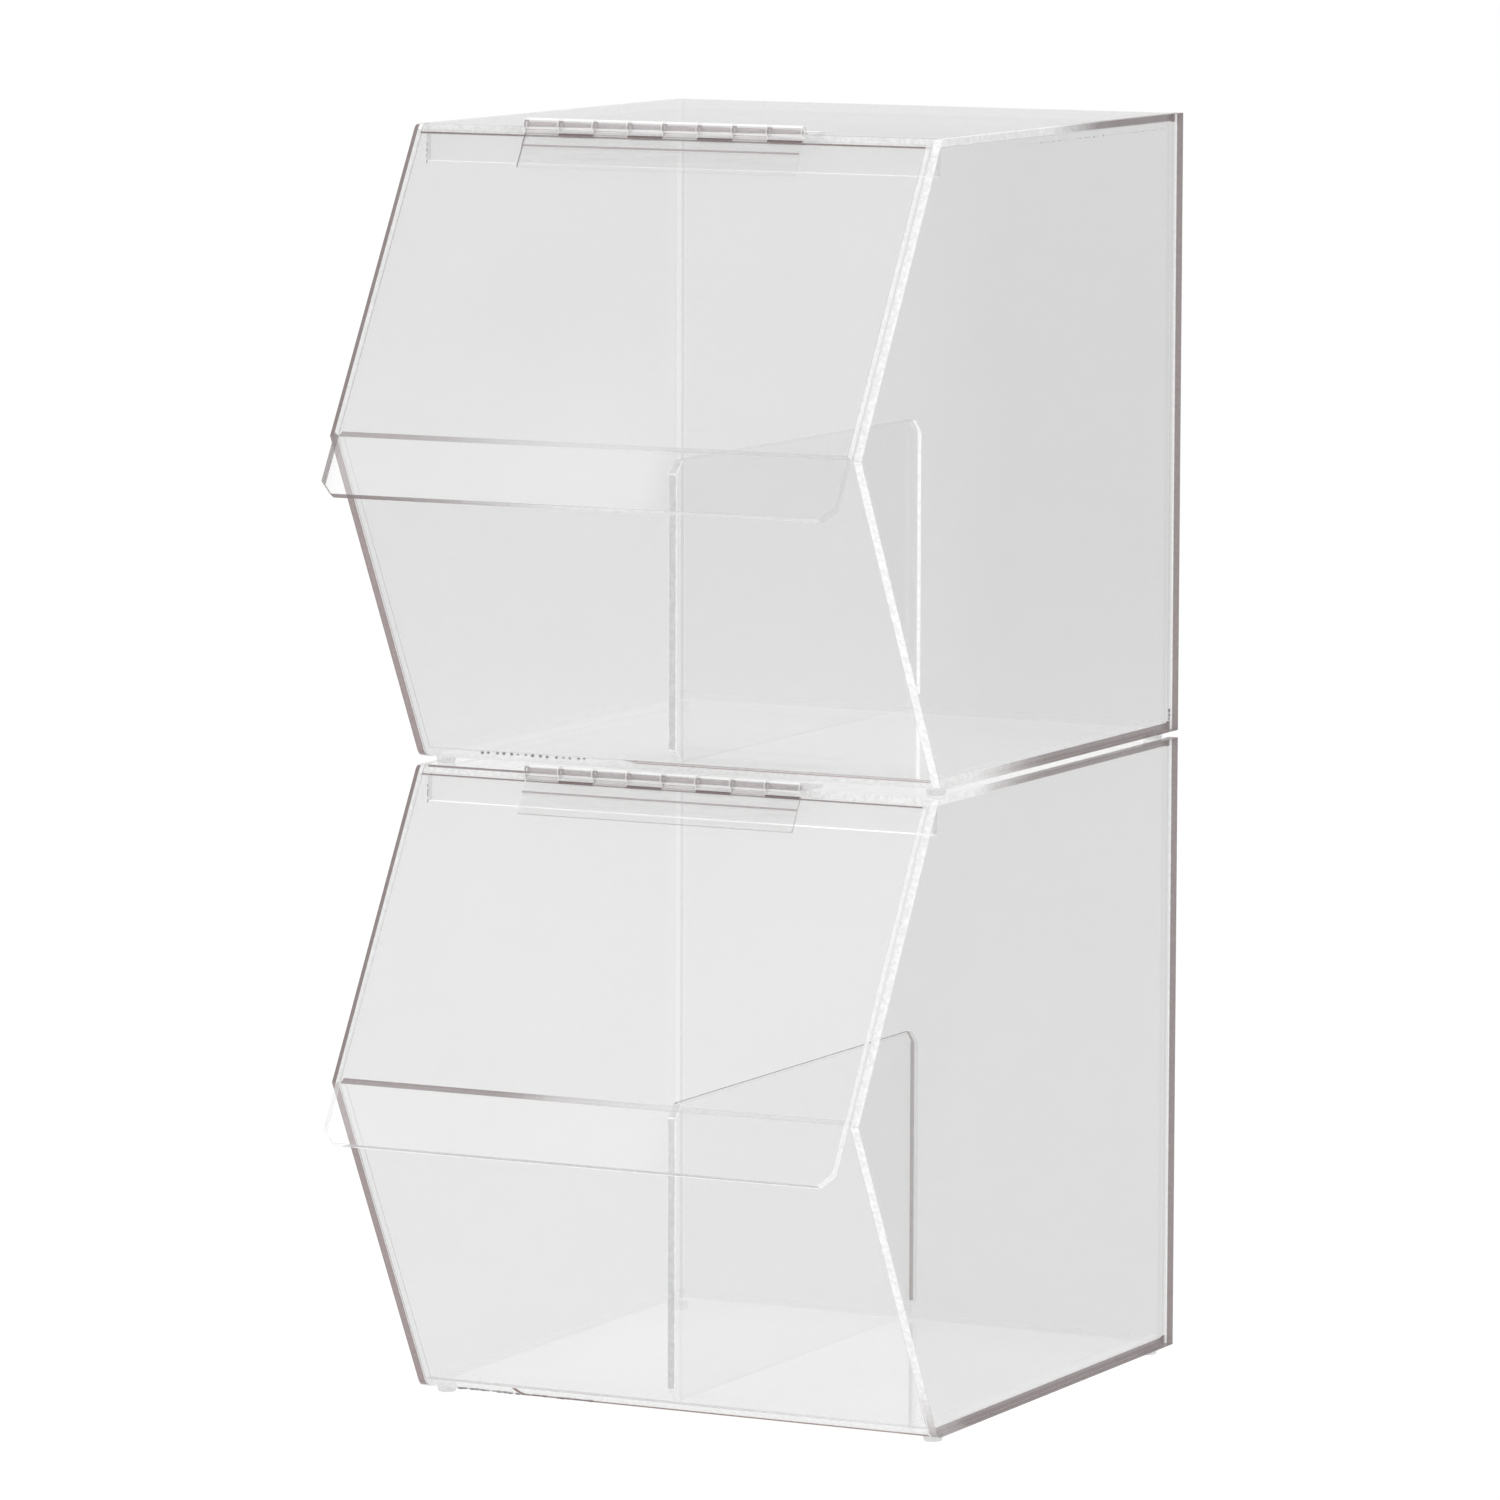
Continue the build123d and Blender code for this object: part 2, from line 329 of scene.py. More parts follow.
def clear_sheet(name, tint, haze, haze_colour, mirror=0.8, mirror_colour=0.8, painted_lightening=(0.0, 0.0),
                painted_lightening_end=(9.0, 9.1), rim=0.0, painted_glow=0.0, front_lift=1.0):
    """A polished sheet face: light passes with a slight grey and a trace of haze; grazing light is mirrored.

    Two shares lay a white film, painted light that pales the sheet, at its left and at its right, up to two
    given heights;
    rim adds to it beside the right joint, the glow lights it as painted light, front_lift pales the sheet
    towards the front as painted light, and mirror_colour greys the mirrored studio as painted shade.
    """
    made, tree, coordinates = new_material(name)
    wear = grouped(tree, sheet_wear, {"Vector": coordinates, "Haze": haze, "Gloss Roughness": 0.05,
                                      "Scratches": 0.7, "Tint": paint(haze_colour)})
    normal = bumped(tree, wear["Height"], strength=0.005, distance=0.0004)
    across, along, height = along_axes(tree, coordinates)
    # Painted light: the sheet is paler towards the front and, below the upper bin, paler in the lower bin.
    lower_tint, front_tint = (paint(min(tint * gain, 1.0)) for gain in (1.013, front_lift))
    through = blend_colour(tree, fit_range(tree, along, -0.14, 0.0), front_tint, paint(tint))
    through = blend_colour(tree, fit_range(tree, height, 0.26, 0.4), lower_tint, through)
    # A white film painted at the left and right of the sheet and beside its right joint: painted light that
    # pales it.
    painted_light_share = fit_range(tree, across, 0.03, 0.05, *painted_lightening)
    painted_light_share = calc(tree, "MULTIPLY", painted_light_share, fit_range(tree, height, *painted_lightening_end, 1.0, 0.0))
    painted_light_share = calc(tree, "ADD", painted_light_share, fit_range(tree, across, 0.118, 0.133, 0.0, rim))
    cover = calc(tree, "ADD", wear["Haze"], painted_light_share, clamp=True)
    film = plastic(tree, wear["Color"], 0.4, normal, painted_glow)
    haze_and_painted_light = laid_over(tree, cover, see_through(tree, through), film)
    gloss = polish(tree, mirror_colour, wear["Roughness"], normal)
    return surfaced(made, laid_over(tree, grazing(tree, mirror), haze_and_painted_light, gloss))


def sheet_edge(name, line=(0.0, 1.0), shades=(0.0, 1.0), dark=(0.25, 0.205, 0.203),
               dark_through=(0.35, 0.30, 0.297), pale=0.93, pale_through=0.95, dark_opacity=0.6,
               pale_opacity=0.6, behind=0.85, fall=1.0, painted_glow=0.0, starts=(-9.1, -9.0)):
    """A polished sheet edge, seen partly as its own body and partly through, with the studio's light and
    shade painted on it.

    line is where across the edge its painted dark line runs, shades how dark its painted shade is at least
    and at most;
    dark is the colour of the painted shade, pale that of the painted highlight. behind is how clear the edge
    is from inside the sheet, and the glow is painted light, the edge shining in its own colour. The dark line
    fades in between the two places in X that starts gives.
    """
    made, tree, coordinates = new_material(name)
    beyond = fit_range(tree, along_axes(tree, coordinates)[0], *starts, 2.0, 0.0)
    light = grouped(tree, edge_light, {
        "Vector": coordinates, "Depth": calc(tree, "ADD", attribute(tree, "sheet_depth"), beyond),
        "Dark Body": paint(dark), "Pale Body": paint(pale), "Dark Through": paint(dark_through),
        "Pale Through": paint(pale_through), "Line From": line[0], "Line To": line[1], "Fall": fall,
        "Least Shade": shades[0], "Most Shade": shades[1], "Pale Opacity": pale_opacity,
        "Dark Opacity": dark_opacity})
    normal = bumped(tree, light["Height"], strength=0.1, distance=0.0002)
    body = plastic(tree, light["Body"], light["Roughness"], normal, painted_glow, light["Body"])
    shown = laid_over(tree, light["Opacity"], see_through(tree, light["Through"]), body)
    inside = calc(tree, "MULTIPLY", place(tree, "ShaderNodeNewGeometry").outputs["Backfacing"], behind)
    return surfaced(made, laid_over(tree, inside, shown, see_through(tree, paint(0.97))))


def moulded(name, opacity, body_colour, streak_colour, amount, through, mirror=1.0, line_colour=None):
    """Clear moulded plastic with its flow marks.

    With a line colour, the tone attribute paints light and shade: a painted white highlight that glows (-1),
    clear (0), a painted dark line of shade (1).
    """
    made, tree, coordinates = new_material(name)
    flow = grouped(tree, moulding_flow, {"Vector": coordinates, "Body": paint(body_colour),
                                         "Streak": paint(streak_colour), "Amount": amount,
                                         "Opacity": opacity})
    colour, cover, through, painted_glow = flow["Color"], flow["Opacity"], paint(through), {}
    if line_colour:
        tone = attribute(tree, "tone")
        line = calc(tree, "MULTIPLY", tone, 1.0, clamp=True)
        shine = calc(tree, "MULTIPLY", tone, -1.0, clamp=True)
        colour = blend_colour(tree, line, colour, paint(line_colour))
        colour = blend_colour(tree, shine, colour, paint(1.0))
        cover = calc(tree, "MULTIPLY_ADD", line, 0.92, cover)
        cover = calc(tree, "MULTIPLY_ADD", shine, 0.8, cover, clamp=True)
        through = blend_colour(tree, line, through, paint((0.62, 0.55, 0.54)))
        painted_glow = {"painted_glow": 0.2, "painted_glow_colour": blend_colour(tree, shine, paint(0.0), paint(1.0))}
    normal = bumped(tree, flow["Height"], strength=0.15, distance=0.0002)
    body = plastic(tree, colour, flow["Roughness"], normal, **painted_glow)
    solid = laid_over(tree, cover, see_through(tree, through), body)
    return surfaced(made, laid_over(tree, grazing(tree, mirror), solid, polish(tree, 0.9, 0.08, normal)))


# The mauve-grey that edges take in painted shade.
painted_shade_mauve = (0.33, 0.27, 0.27)
# Copies of one clear sheet with painted light and shade: the back and side panels take darker tints and haze,
# the left panel darker than the right, and the right panel paler towards the front; the top greys its
# mirrored studio; the lips, upper lid, base and covered top are paled by a painted white film, all but the
# upper lid with a painted glow.
clear_front = clear_sheet("clear_front_face", 0.985, 0.04, 0.95)
clear_lid = clear_sheet("clear_lid_face", 0.985, 0.04, 0.95)
clear_upper_lid = clear_sheet("clear_upper_lid_face", 0.985, 0.04, 0.95, painted_lightening=(0.1, 0.0),
                              painted_lightening_end=(0.47, 0.54))
clear_lip = clear_sheet("clear_lip_face", 0.972, 0.02, 1.0, painted_lightening=(0.09, 0.0), painted_glow=0.25)
clear_low_lip = clear_sheet("clear_low_lip_face", 0.983, 0.02, 1.0, painted_lightening=(0.04, 0.0), painted_glow=0.25)
clear_back = clear_sheet("clear_back_face", 0.89, 0.015, 0.65)
clear_left = clear_sheet("clear_left_face", 0.90, 0.015, 0.62, 0.7, 0.75)
clear_right = clear_sheet("clear_right_face", 0.935, 0.015, 0.62, 0.7, 0.75, front_lift=1.025)
clear_base = clear_sheet("clear_base_face", 0.992, 0.02, 1.0, 1.0, 0.95, painted_lightening=(0.26, 0.26), rim=0.3,
                         painted_glow=0.28)
clear_divider = clear_sheet("clear_divider_face", 0.993, 0.03, 1.0)
clear_top = clear_sheet("clear_top_face", 0.94, 0.02, 0.9, 1.0, 0.3)
clear_covered_top = clear_sheet("clear_covered_top_face", 0.98, 0.02, 1.0, 1.0, 0.97, painted_lightening=(0.12, 0.22),
                                painted_glow=0.45)
# Edge materials paint the studio's light on the sheet edges: their dark mauve lines are painted shade, their
# pale, white and glowing lines and arrises painted highlights, and the lower and upper, left and right
# variants are lit and shaded copies.
mouth_edge = sheet_edge("mouth_edge", line=(0.5, 1.1), pale=0.95, pale_opacity=0.78, painted_glow=0.06)
front_edge = sheet_edge("front_edge", line=(0.12, 1.1), dark=painted_shade_mauve, dark_through=(0.43, 0.37, 0.37),
                        pale=0.97, pale_opacity=0.8, painted_glow=0.2)
rear_edge = sheet_edge("rear_edge", line=(0.22, 1.1), pale=0.97, pale_opacity=0.85, behind=0.0, painted_glow=0.25)
far_edge = sheet_edge("far_edge", shades=(0.0, 0.0), pale_opacity=0.02, behind=0.0)
side_level_edge = sheet_edge("side_level_edge", line=(-0.1, 1.1), shades=(0.05, 1.0), dark_opacity=0.7,
                             pale_opacity=0.5, behind=0.0, painted_glow=0.12)
base_end = sheet_edge("base_end", line=(0.14, 1.1), shades=(0.1, 1.0), pale=0.97, pale_opacity=0.75,
                      behind=1.0, painted_glow=0.35)
top_end = sheet_edge("top_end", line=(0.1, 1.1), pale=0.97, pale_opacity=0.75, behind=1.0, painted_glow=0.35)
low_knee_edge = sheet_edge("low_knee_edge", shades=(0.04, 1.0), dark=painted_shade_mauve, pale_opacity=0.3, fall=5.0)
high_knee_edge = sheet_edge("high_knee_edge", shades=(0.1, 1.0), dark=painted_shade_mauve, pale_opacity=0.3, fall=2.0)
lip_edge = sheet_edge("lip_edge", pale=0.97, pale_opacity=0.5, fall=2.0, painted_glow=0.12)
lid_side_edge = sheet_edge("lid_side_edge", shades=(0.0, 0.1), pale=0.97, pale_opacity=0.55, behind=0.0,
                           painted_glow=0.2)
lip_side_edge = sheet_edge("lip_side_edge", shades=(0.05, 1.0), dark_opacity=0.75, pale_opacity=0.2,
                           behind=0.1)
low_lip_edge = sheet_edge("low_lip_edge", line=(0.3, 1.1), shades=(0.9, 1.0), dark=(0.55, 0.52, 0.535),
                          dark_through=0.8, dark_opacity=0.65, pale=0.97, pale_opacity=0.85, painted_glow=0.25,
                          starts=(-0.135, -0.115))
low_lip_side_edge = sheet_edge("low_lip_side_edge", shades=(0.0, 0.1), pale=0.97, pale_through=0.97,
                               behind=0.3, painted_glow=0.2)
lid_top_edge = sheet_edge("lid_top_edge", line=(-0.1, 0.45), shades=(1.0, 1.0), dark=(0.2, 0.14, 0.12),
                          dark_through=(0.34, 0.27, 0.25), dark_opacity=0.85, pale_opacity=0.03, behind=0.0)
level_edge = sheet_edge("level_edge", shades=(0.0, 0.15), pale=0.97, pale_opacity=0.3, behind=0.4)
back_end = sheet_edge("back_end", shades=(0.0, 0.0), pale=0.8, pale_through=0.87, pale_opacity=0.03,
                      behind=0.9)
cemented_face = sheet_edge("cemented_face", shades=(0.0, 0.0), pale=0.9, pale_through=0.985,
                           pale_opacity=0.03, behind=0.9)
# The front joint lines are the cement joint's own dark line, made darker or paler along it like the painted
# shade and lit by a painted glow.
low_joint_line = sheet_edge("low_joint_line", line=(0.66, 1.1), shades=(0.8, 1.0), dark=(0.24, 0.14, 0.12),
                            dark_through=(0.36, 0.27, 0.25), dark_opacity=0.8, pale=0.97, pale_opacity=0.3,
                            behind=0.4, painted_glow=0.15, starts=(-0.095, -0.08))
high_joint_line = sheet_edge("high_joint_line", line=(-0.1, 0.16), shades=(0.75, 0.85),
                             dark=(0.34, 0.2, 0.18), dark_opacity=0.7, pale=0.97, pale_opacity=0.3,
                             behind=0.4, painted_glow=0.15, starts=(-0.04, -0.02))
fascia_low_edge = sheet_edge("fascia_low_edge", shades=(0.0, 0.2), pale=0.97, pale_opacity=0.85, behind=0.0,
                             painted_glow=0.6)
top_front_edge = sheet_edge("top_front_edge", shades=(0.0, 0.1), pale_opacity=0.8, behind=0.2, painted_glow=0.1)
low_front_edge = sheet_edge("low_front_edge", shades=(0.0, 0.15), pale=0.97, pale_opacity=0.4, behind=0.0,
                            painted_glow=0.05)
high_front_edge = sheet_edge("high_front_edge", line=(-0.1, 1.1), shades=(0.4, 0.8), dark=(0.36, 0.24, 0.22),
                             dark_opacity=0.75, pale_opacity=0.4, behind=0.0, painted_glow=0.05,
                             starts=(-0.04, -0.02))
covered_front_edge = sheet_edge("covered_front_edge", line=(0.72, 1.1), shades=(0.0, 0.9), dark_opacity=0.75,
                                pale_opacity=0.8, behind=0.2, painted_glow=0.1)
fascia_end = sheet_edge("fascia_end", shades=(0.0, 0.3), pale=0.97, pale_opacity=0.5, behind=0.3)
divider_front_edge = sheet_edge("divider_front_edge", shades=(0.0, 0.0), pale=(0.77, 0.77, 0.78),
                                pale_through=(0.86, 0.86, 0.88), pale_opacity=0.75)
divider_arris = sheet_edge("divider_arris", shades=(0.0, 0.0), pale=0.97, pale_through=0.98, pale_opacity=0.7,
                           behind=0.3, painted_glow=0.25)
divider_pale_edge = sheet_edge("divider_pale_edge", shades=(0.0, 0.05), pale=0.95, pale_opacity=0.15,
                               behind=0.0)
divider_bright_edge = sheet_edge("divider_bright_edge", line=(0.5, 1.1), shades=(1.0, 1.0), dark=0.97,
                                 dark_through=0.97, dark_opacity=0.8, pale=0.95, pale_opacity=0.12,
                                 behind=0.0, painted_glow=0.5)
divider_thin_edge = sheet_edge("divider_thin_edge", line=(0.0, 0.45), shades=(0.7, 0.8),
                               dark=(0.3, 0.23, 0.2), pale_opacity=0.15, behind=0.0)
pale_arris = sheet_edge("pale_arris", shades=(0.0, 0.9), pale=0.95, pale_through=0.93, pale_opacity=0.5,
                        behind=0.6)
lid_arris = sheet_edge("lid_arris", shades=(0.2, 0.8), pale=0.9, pale_opacity=0.4, behind=0.3)
low_lid_arris = sheet_edge("low_lid_arris", shades=(0.0, 0.2), pale_opacity=0.4, behind=0.3)
# The hinge plastic paints the hinge's highlights, with a painted glow, and its dark shade lines from each
# face's tone.
hinge_skin = moulded("hinge_plastic", 0.06, (0.85, 0.83, 0.83), (0.55, 0.5, 0.5), 0.25, 0.98, mirror=0.8,
                     line_colour=(0.11, 0.06, 0.065))
rod_clear = moulded("hinge_rod", 0.2, (0.7, 0.66, 0.66), (0.35, 0.3, 0.3), 0.6, (0.9, 0.88, 0.88))
foot_clear = moulded("foot_clear", 0.25, 0.9, 0.7, 0.5, 0.95)
bubble_skin = moulded("joint_bubble", 0.75, (0.3, 0.26, 0.26), (0.15, 0.12, 0.12), 0.5, (0.5, 0.45, 0.45))


# Mesh helpers

def new_piece(name, mesh, body, slot, *nodes):
    """A finished piece on its CAD body, standing for the given nodes."""
    made = bpy.data.objects.new(name, mesh)
    scene.collection.objects.link(made)
    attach(made, body)
    if nodes:
        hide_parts(*nodes)


def finished_mesh(bm, name, smooth=False):
    """The plain mesh of a finished shape."""
    if smooth:
        for face in bm.faces:
            face.smooth = True
    mesh = bpy.data.meshes.new(name)
    bm.to_mesh(mesh)
    bm.free()
    return mesh


def cut_across(bm, point, direction):
    """Splits the faces where a plane passes and keeps both sides."""
    whole = list(bm.verts) + list(bm.edges) + list(bm.faces)
    bmesh.ops.bisect_plane(bm, geom=whole, plane_co=point, plane_no=direction)


def sharp_edges(bm, degrees):
    return [edge for edge in bm.edges if edge.calc_face_angle(0) > math.radians(degrees)]


def ease(bm, edges, width, segments=1, material=0):
    """Bevels edges."""
    bmesh.ops.bevel(bm, geom=edges, offset=width, segments=segments, profile=0.5, affect="EDGES",
                    clamp_overlap=True, material=material)


def draw_out(bm, length):
    """Extrudes flat faces along X."""
    grown = bmesh.ops.extrude_face_region(bm, geom=list(bm.faces), use_keep_orig=True)["geom"]
    moved = [part for part in grown if isinstance(part, bmesh.types.BMVert)]
    bmesh.ops.translate(bm, verts=moved, vec=(length, 0, 0))


def turned_mesh(name, profile, sides, spot):
    """A shape turned from (station, radius) pairs; spot puts a station and two sideways parts in place."""
    bm = bmesh.new()
    loops = []
    for station, radius in profile:
        angles = [2 * math.pi * t / sides for t in range(sides if radius else 1)]
        loops.append([bm.verts.new(spot(station, radius * math.cos(a), radius * math.sin(a)))
                      for a in angles])
    for a, b in zip(loops, loops[1:]):
        for t in range(sides):
            corners = [a[t % len(a)], b[t % len(b)], b[(t + 1) % len(b)], a[(t + 1) % len(a)]]
            bm.faces.new(list(dict.fromkeys(corners)))
    bmesh.ops.recalc_face_normals(bm, faces=bm.faces)
    return finished_mesh(bm, name, smooth=True)


def pull_in(bm, distance):
    """Moves every face of a closed shape inwards by the same distance."""
    moves = {}
    for vertex in bm.verts:
        normals = []
        for face in vertex.link_faces:
            if not any((face.normal - n).length < 1e-3 for n in normals):
                normals.append(face.normal.copy())
        rows = np.array([list(n) for n in normals])
        moves[vertex] = Vector(np.linalg.lstsq(rows, -distance * np.ones(len(rows)), rcond=1e-4)[0])
    for vertex, shift in moves.items():
        vertex.co += shift


def sheet_piece(node, body, outward, face_material, arris_material, edges, arris=0.2 * mm, zones=(),
                plain=()):
    """A cut sheet with eased arrises, from its CAD solid: polished faces, sawn edges, and arrises in their
    own material, where pale a painted highlight.

    outward points out of the bin, across the sheet. edges lists (direction, material): an edge face takes
    the material whose direction it faces most, and a corner cut the first one listed. zones lists (point,
    direction, face material, end material): the polished faces and the ends in X beyond a line. plain
    lists the directions whose arrises look like their edge.
    """
    outward = Vector(outward).normalized()
    bm = bmesh.new()
    bm.from_mesh(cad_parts[node].data)
    bmesh.ops.remove_doubles(bm, verts=bm.verts, dist=1e-6)
    bmesh.ops.dissolve_limit(bm, angle_limit=math.radians(0.2), verts=bm.verts, edges=bm.edges)
    bm.normal_update()
    pull_in(bm, joint_film)
    bm.normal_update()
    materials = [face_material, *[material for _, material in edges], arris_material]
    arris_index = len(edges) + 1
    for point, direction, zone_face, zone_end in zones:
        cut_across(bm, point, direction)
        bm.normal_update()
        materials += [zone_face, zone_end]
    for face in bm.faces:
        polished = abs(face.normal.dot(outward)) > 0.99
        turned_to = [round(face.normal.dot(Vector(direction).normalized()), 3) for direction, _ in edges]
        face.material_index = 0 if polished else turned_to.index(max(turned_to)) + 1
    ease(bm, sharp_edges(bm, 20), arris, material=arris_index)
    bm.normal_update()
    for face in bm.faces:
        for index, (direction, _) in enumerate(edges):
            faces_it = face.normal.dot(Vector(direction)) > 0.6
            if face.material_index == arris_index and direction in plain and faces_it:
                face.material_index = index + 1
        polished = abs(face.normal.dot(outward)) > 0.99
        for number, (point, direction, _, _) in enumerate(zones):
            beyond = (face.calc_center_median() - Vector(point)).dot(Vector(direction)) > 0
            if beyond and (polished or abs(face.normal.x) > 0.4):
                face.material_index = arris_index + 1 + 2 * number + (0 if polished else 1)
    mesh = finished_mesh(bm, node + "_cut")
    heights = np.array([v.co.dot(outward) for v in mesh.vertices])
    depths = (heights - heights.min()) / (heights.max() - heights.min())
    mesh.attributes.new("sheet_depth", "FLOAT", "POINT").data.foreach_set("value", depths.astype(np.float32))
    for material in materials:
        mesh.materials.append(material)
    new_piece(node + "_cut", mesh, body, "clear_acrylic", node)


left, right, front, back, top, bottom = (-1, 0, 0), (1, 0, 0), (0, -1, 0), (0, 1, 0), (0, 0, 1), (0, 0, -1)
out_of_mouth = Vector((0, down.z, -down.y))
out_of_front = Vector((0, -0.88275, -0.46979))
up_front = Vector((0, -0.46979, 0.88275))
# The right side panel's back, top and bottom edges take painted shade, the left panel's same edges are nearly
# clear or pale.
seen_edges = [(out_of_mouth, mouth_edge), (out_of_front, front_edge)]
near_edges = seen_edges + [(back, rear_edge), (top, side_level_edge), (bottom, side_level_edge)]
far_edges = seen_edges + [(back, far_edge), (top, level_edge), (bottom, level_edge)]

# Sheet pieces of both bins
for level, base in bases.items():
    bin_body, lid_body = level + "_bin", level + "_lid"
    # Lit and shaded copies per bin: the light and shade painted on the edges, lips, lid arrises and top
    # panels differ between the lower and the upper bin.
    base_front, knee_top, front_low, top_face, top_front, divider_back, divider_top = {
        "lower": (low_joint_line, low_knee_edge, low_front_edge, clear_covered_top, covered_front_edge,
                  divider_thin_edge, divider_thin_edge),
        "upper": (high_joint_line, high_knee_edge, high_front_edge, clear_top, top_front_edge,
                  divider_bright_edge, divider_pale_edge)}[level]
    lid_face, lid_rim, lip_face, lip_low, lip_side = {
        "lower": (clear_lid, low_lid_arris, clear_low_lip, low_lip_edge, low_lip_side_edge),
        "upper": (clear_upper_lid, lid_arris, clear_lip, lip_edge, lip_side_edge)}[level]
    low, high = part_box(f"{level}_back_panel")
    corners = [((0, 0, high.z - sheet), top, clear_back, side_level_edge),
               ((0, 0, low.z + sheet), bottom, clear_back, side_level_edge)]
    knee = Vector((0, -y_middle, base + knee_height))
    sheet_piece(f"{level}_left_side_panel", bin_body, left, clear_left, pale_arris, far_edges, plain=(back,))
    sheet_piece(f"{level}_right_side_panel", bin_body, right, clear_right, pale_arris, near_edges,
                plain=(top, bottom))
    sheet_piece(f"{level}_back_panel", bin_body, back, clear_back, cemented_face,
                [(left, cemented_face), (right, back_end), (top, cemented_face), (bottom, cemented_face)],
                zones=corners)
    sheet_piece(f"{level}_base_panel", bin_body, bottom, clear_base, cemented_face,
                [(left, cemented_face), (right, base_end), (front, base_front), (back, cemented_face)])
    sheet_piece(f"{level}_top_panel", bin_body, top, top_face, cemented_face,
                [(left, cemented_face), (right, top_end), (front, top_front), (back, cemented_face)])
    sheet_piece(f"{level}_front_panel", bin_body, out_of_front, clear_front, pale_arris,
                [(left, cemented_face), (right, cemented_face), (up_front, knee_top), (bottom, front_low)],
                plain=(bottom,))
    sheet_piece(f"{level}_fascia", bin_body, front, clear_front, cemented_face,
                [(left, fascia_end), (right, fascia_end), (top, cemented_face), (bottom, fascia_low_edge)])
    sheet_piece(f"{level}_divider", bin_body, right, clear_divider, divider_arris,
                [(bottom, cemented_face), (front, divider_front_edge), (back, divider_back),
                 (top, divider_top)],
                arris=0.45 * mm, plain=(back, top, bottom))
    sheet_piece(f"{level}_lid", lid_body, out_of_mouth, lid_face, lid_rim,
                [(left, lid_side_edge), (right, lid_side_edge), (-down, lid_top_edge), (down, lip_low)],
                zones=[(knee, down, lip_face, lip_side)])


# Hinges

def stamp_tones(bm, tone_of):
    """Writes each face's tone of painted light and shade, worked out from its normal and its middle."""
    bm.normal_update()
    layer = bm.faces.layers.float.new("tone")
    for face in bm.faces:
        face[layer] = tone_of(face.normal, face.calc_center_median())


def barrel_tone(tilt, low_line):
    """The painted light round a barrel: painted highlights below, a thin painted line, a highlight, painted
    mauve shade in front and a painted highlight on top.

    tilt is in degrees above level.
    """
    for limit, tone in ((-56, -0.8), (-46, low_line), (-20, -0.6), (34, 0.2), (44, 0.05), (96, -0.75)):
        if tilt <= limit:
            return tone
    return 0.0


def knuckle_template(near, far, bore, turn, low_line):
    """One barrel from x = 0, with the web to its leaf; a runs along the leaf, b to its side."""
    side = 1 if far > 0 else -1
    start = math.atan2(near, math.sqrt(knuckle_radius**2 - near**2))
    stop = math.atan2(far, math.sqrt(knuckle_radius**2 - far**2))
    steps, hole_steps = 56, 24
    # the long way round the barrel, from the web's near face to its far face
    sweep = 2 * math.pi - (stop - start) * side
    round_barrel = [start - side * sweep * i / steps for i in range(steps + 1)]
    outline = [(knuckle_radius * math.cos(t), knuckle_radius * math.sin(t)) for t in round_barrel]
    overlap = 0.02 * mm
    outline += [(notch_end - overlap, far), (notch_end - overlap, near)]
    round_hole = [2 * math.pi * i / hole_steps for i in range(hole_steps)]
    hole = [(bore * math.cos(t), bore * math.sin(t)) for t in round_hole]
    bm = bmesh.new()
    edges = []
    for loop in (outline, hole):
        verts = [bm.verts.new((0, a, b)) for a, b in loop]
        edges += [bm.edges.new((verts[i], verts[(i + 1) % len(verts)])) for i in range(len(verts))]
    bmesh.ops.triangle_fill(bm, use_beauty=True, edges=edges)
    draw_out(bm, knuckle_pitch - knuckle_gap)
    bmesh.ops.recalc_face_normals(bm, faces=bm.faces)
    rims = [edge for edge in sharp_edges(bm, 60) if edge.verts[0].co.x == edge.verts[1].co.x
            and max(Vector((v.co.y, v.co.z)).length for v in edge.verts) > bore * 1.5]
    ease(bm, rims, 0.22 * mm, segments=2)

    # Painted light and shade: a dark line on the left end and a faint one on the right, painted highlights on
    # the eased rims, and the barrel's painted light by its tilt.
    def tone_of(normal, middle):
        if abs(normal.x) > 0.95:
            return 0.7 if normal.x < 0 else 0.1
        if abs(normal.x) > 0.1:
            return -0.8
        if Vector((middle.y, middle.z)).length < knuckle_radius * 0.9:
            return 0.0
        upwards = normal.y * math.sin(turn) + normal.z * math.cos(turn)
        forwards = normal.z * math.sin(turn) - normal.y * math.cos(turn)
        return barrel_tone(math.degrees(math.atan2(upwards, forwards)), low_line)

    stamp_tones(bm, tone_of)
    for face in bm.faces:
        face.smooth = abs(face.normal.x) < 0.9
    return finished_mesh(bm, "knuckle_template")


